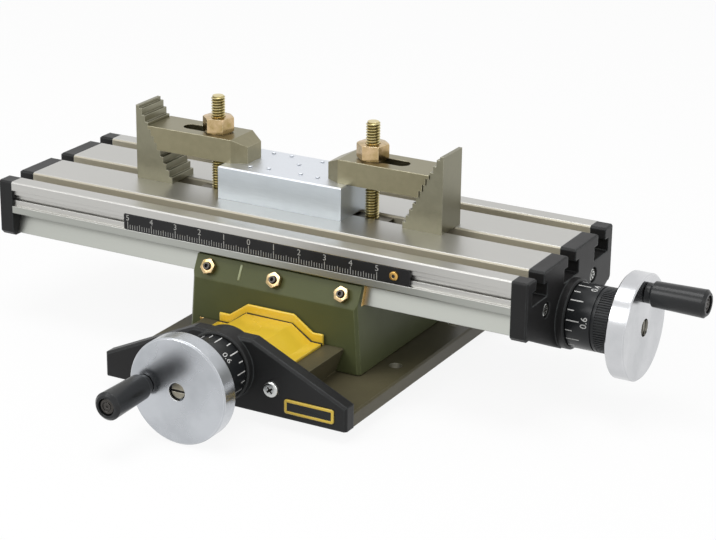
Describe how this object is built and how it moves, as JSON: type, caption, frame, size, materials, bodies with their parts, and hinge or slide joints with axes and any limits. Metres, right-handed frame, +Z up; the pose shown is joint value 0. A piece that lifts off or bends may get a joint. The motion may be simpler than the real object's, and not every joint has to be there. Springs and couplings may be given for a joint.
{
  "type": "cross slide table",
  "caption": "Small cross slide table: slotted table on crossed dovetail slides, handwheels with graduated dials, ruler, and step clamps holding a block.",
  "frame": {"origin": "middle of the underside of the base, which is the centre of its four mounting holes", "axes": "+X along the table towards the long-travel handwheel, +Y away from the cross-travel handwheel and its bracket, +Z up from the base to the table face"},
  "size_m": [0.2602, 0.1836, 0.0871],
  "materials": {
    "olive_casting": "olive green enamel on a die casting",
    "black_casting": "black satin enamel on a die casting",
    "dial_black": "black anodised, satin",
    "grip_black": "glossy black",
    "brass": "machined",
    "bright_steel": "bright machined",
    "yellow_zinc": "yellow zinc plated",
    "clamp_steel": "satin, brown tint",
    "anodised_table": "satin anodised extrusion",
    "turned_wheel": "turned and polished",
    "yellow_cover": "glossy yellow",
    "ruler_black": "black anodised strip",
    "work_aluminium": "milled",
    "ring_rubber": "matt"
  },
  "bodies": {
    "base": {"base": "olive_casting", "front_bracket": "black_casting", "bracket_screws": "bright_steel", "spindle_cover": "yellow_cover", "y_bearing_bush": "brass"},
    "saddle": {"saddle": "olive_casting", "x_gib": "brass", "y_gib": "brass", "x_gib_screws": "bright_steel", "x_gib_lock_nuts": "yellow_zinc", "y_gib_screws": "bright_steel", "y_gib_lock_nuts": "yellow_zinc", "x_spindle_nut": "brass", "y_spindle_nut": "brass"},
    "table": {"table_top": "anodised_table", "right_end_plate": "black_casting", "left_end_plate": "black_casting", "right_plate_screws": "bright_steel", "left_plate_screws": "bright_steel", "x_bearing_bush": "brass", "held_block": "work_aluminium"},
    "x_wheel": {"x_spindle": "bright_steel", "x_handwheel": "turned_wheel", "x_wheel_screw": "bright_steel", "x_dial_friction_ring": "ring_rubber", "x_grip_pin": "bright_steel"},
    "x_dial": {"x_dial": "dial_black"},
    "x_grip": {"x_grip": "grip_black"},
    "y_wheel": {"y_spindle": "bright_steel", "y_handwheel": "turned_wheel", "y_wheel_screw": "bright_steel", "y_dial_friction_ring": "ring_rubber", "y_grip_pin": "bright_steel"},
    "y_dial": {"y_dial": "dial_black"},
    "y_grip": {"y_grip": "grip_black"},
    "ruler": {"ruler": "ruler_black", "ruler_screw": "brass", "ruler_clamp_nut": "brass"},
    "left_clamp": {"left_step_block": "clamp_steel", "left_clamp_bar": "clamp_steel", "left_stud": "yellow_zinc", "left_t_nut": "yellow_zinc"},
    "left_clamp_nut": {"left_clamp_nut": "yellow_zinc"},
    "right_clamp": {"right_step_block": "clamp_steel", "right_clamp_bar": "clamp_steel", "right_stud": "yellow_zinc", "right_t_nut": "yellow_zinc"},
    "right_clamp_nut": {"right_clamp_nut": "yellow_zinc"}
  },
  "joints": [
    {"name": "saddle_slide", "type": "slide", "parent": "base", "child": "saddle", "axis": [0, 1, 0], "range_m": [0, 0.046]},
    {"name": "table_slide", "type": "slide", "parent": "saddle", "child": "table", "axis": [1, 0, 0], "range_m": [-0.055, 0.079]},
    {"name": "x_wheel_turn", "type": "hinge", "parent": "table", "child": "x_wheel", "pos_m": [0.0968, 0, 0.0277], "axis": [1, 0, 0], "range_deg": [-19801, 28441]},
    {"name": "x_dial_turn", "type": "hinge", "parent": "x_wheel", "child": "x_dial", "pos_m": [0.105, 0, 0.0277], "axis": [1, 0, 0], "continuous": true},
    {"name": "x_grip_turn", "type": "hinge", "parent": "x_wheel", "child": "x_grip", "pos_m": [0.1212, 0, 0.0402], "axis": [1, 0, 0], "continuous": true},
    {"name": "y_wheel_turn", "type": "hinge", "parent": "base", "child": "y_wheel", "pos_m": [0, -0.073, 0.0142], "axis": [0, 1, 0], "range_deg": [0, 16561]},
    {"name": "y_dial_turn", "type": "hinge", "parent": "y_wheel", "child": "y_dial", "pos_m": [0, -0.081, 0.0142], "axis": [0, 1, 0], "continuous": true},
    {"name": "y_grip_turn", "type": "hinge", "parent": "y_wheel", "child": "y_grip", "pos_m": [-0.0125, -0.0974, 0.0142], "axis": [0, 1, 0], "continuous": true},
    {"name": "ruler_slide", "type": "slide", "parent": "table", "child": "ruler", "axis": [1, 0, 0], "range_m": [-0.045, 0.035]},
    {"name": "left_clamp_slide", "type": "slide", "parent": "table", "child": "left_clamp", "axis": [1, 0, 0], "range_m": [-0.0323, 0.0042]},
    {"name": "right_clamp_slide", "type": "slide", "parent": "table", "child": "right_clamp", "axis": [1, 0, 0], "range_m": [-0.0028, 0.0357]},
    {"name": "left_clamp_nut_turn", "type": "hinge", "parent": "left_clamp", "child": "left_clamp_nut", "pos_m": [-0.0452, 0, 0.0696], "axis": [0, 0, 1], "continuous": true},
    {"name": "right_clamp_nut_turn", "type": "hinge", "parent": "right_clamp", "child": "right_clamp_nut", "pos_m": [0.0178, 0, 0.0696], "axis": [0, 0, 1], "continuous": true}
  ],
  "couplings": [
    {"joint": "x_wheel_turn", "follows": "table_slide", "rad_per_m": 6283.2},
    {"joint": "y_wheel_turn", "follows": "saddle_slide", "rad_per_m": 6283.2}
  ]
}
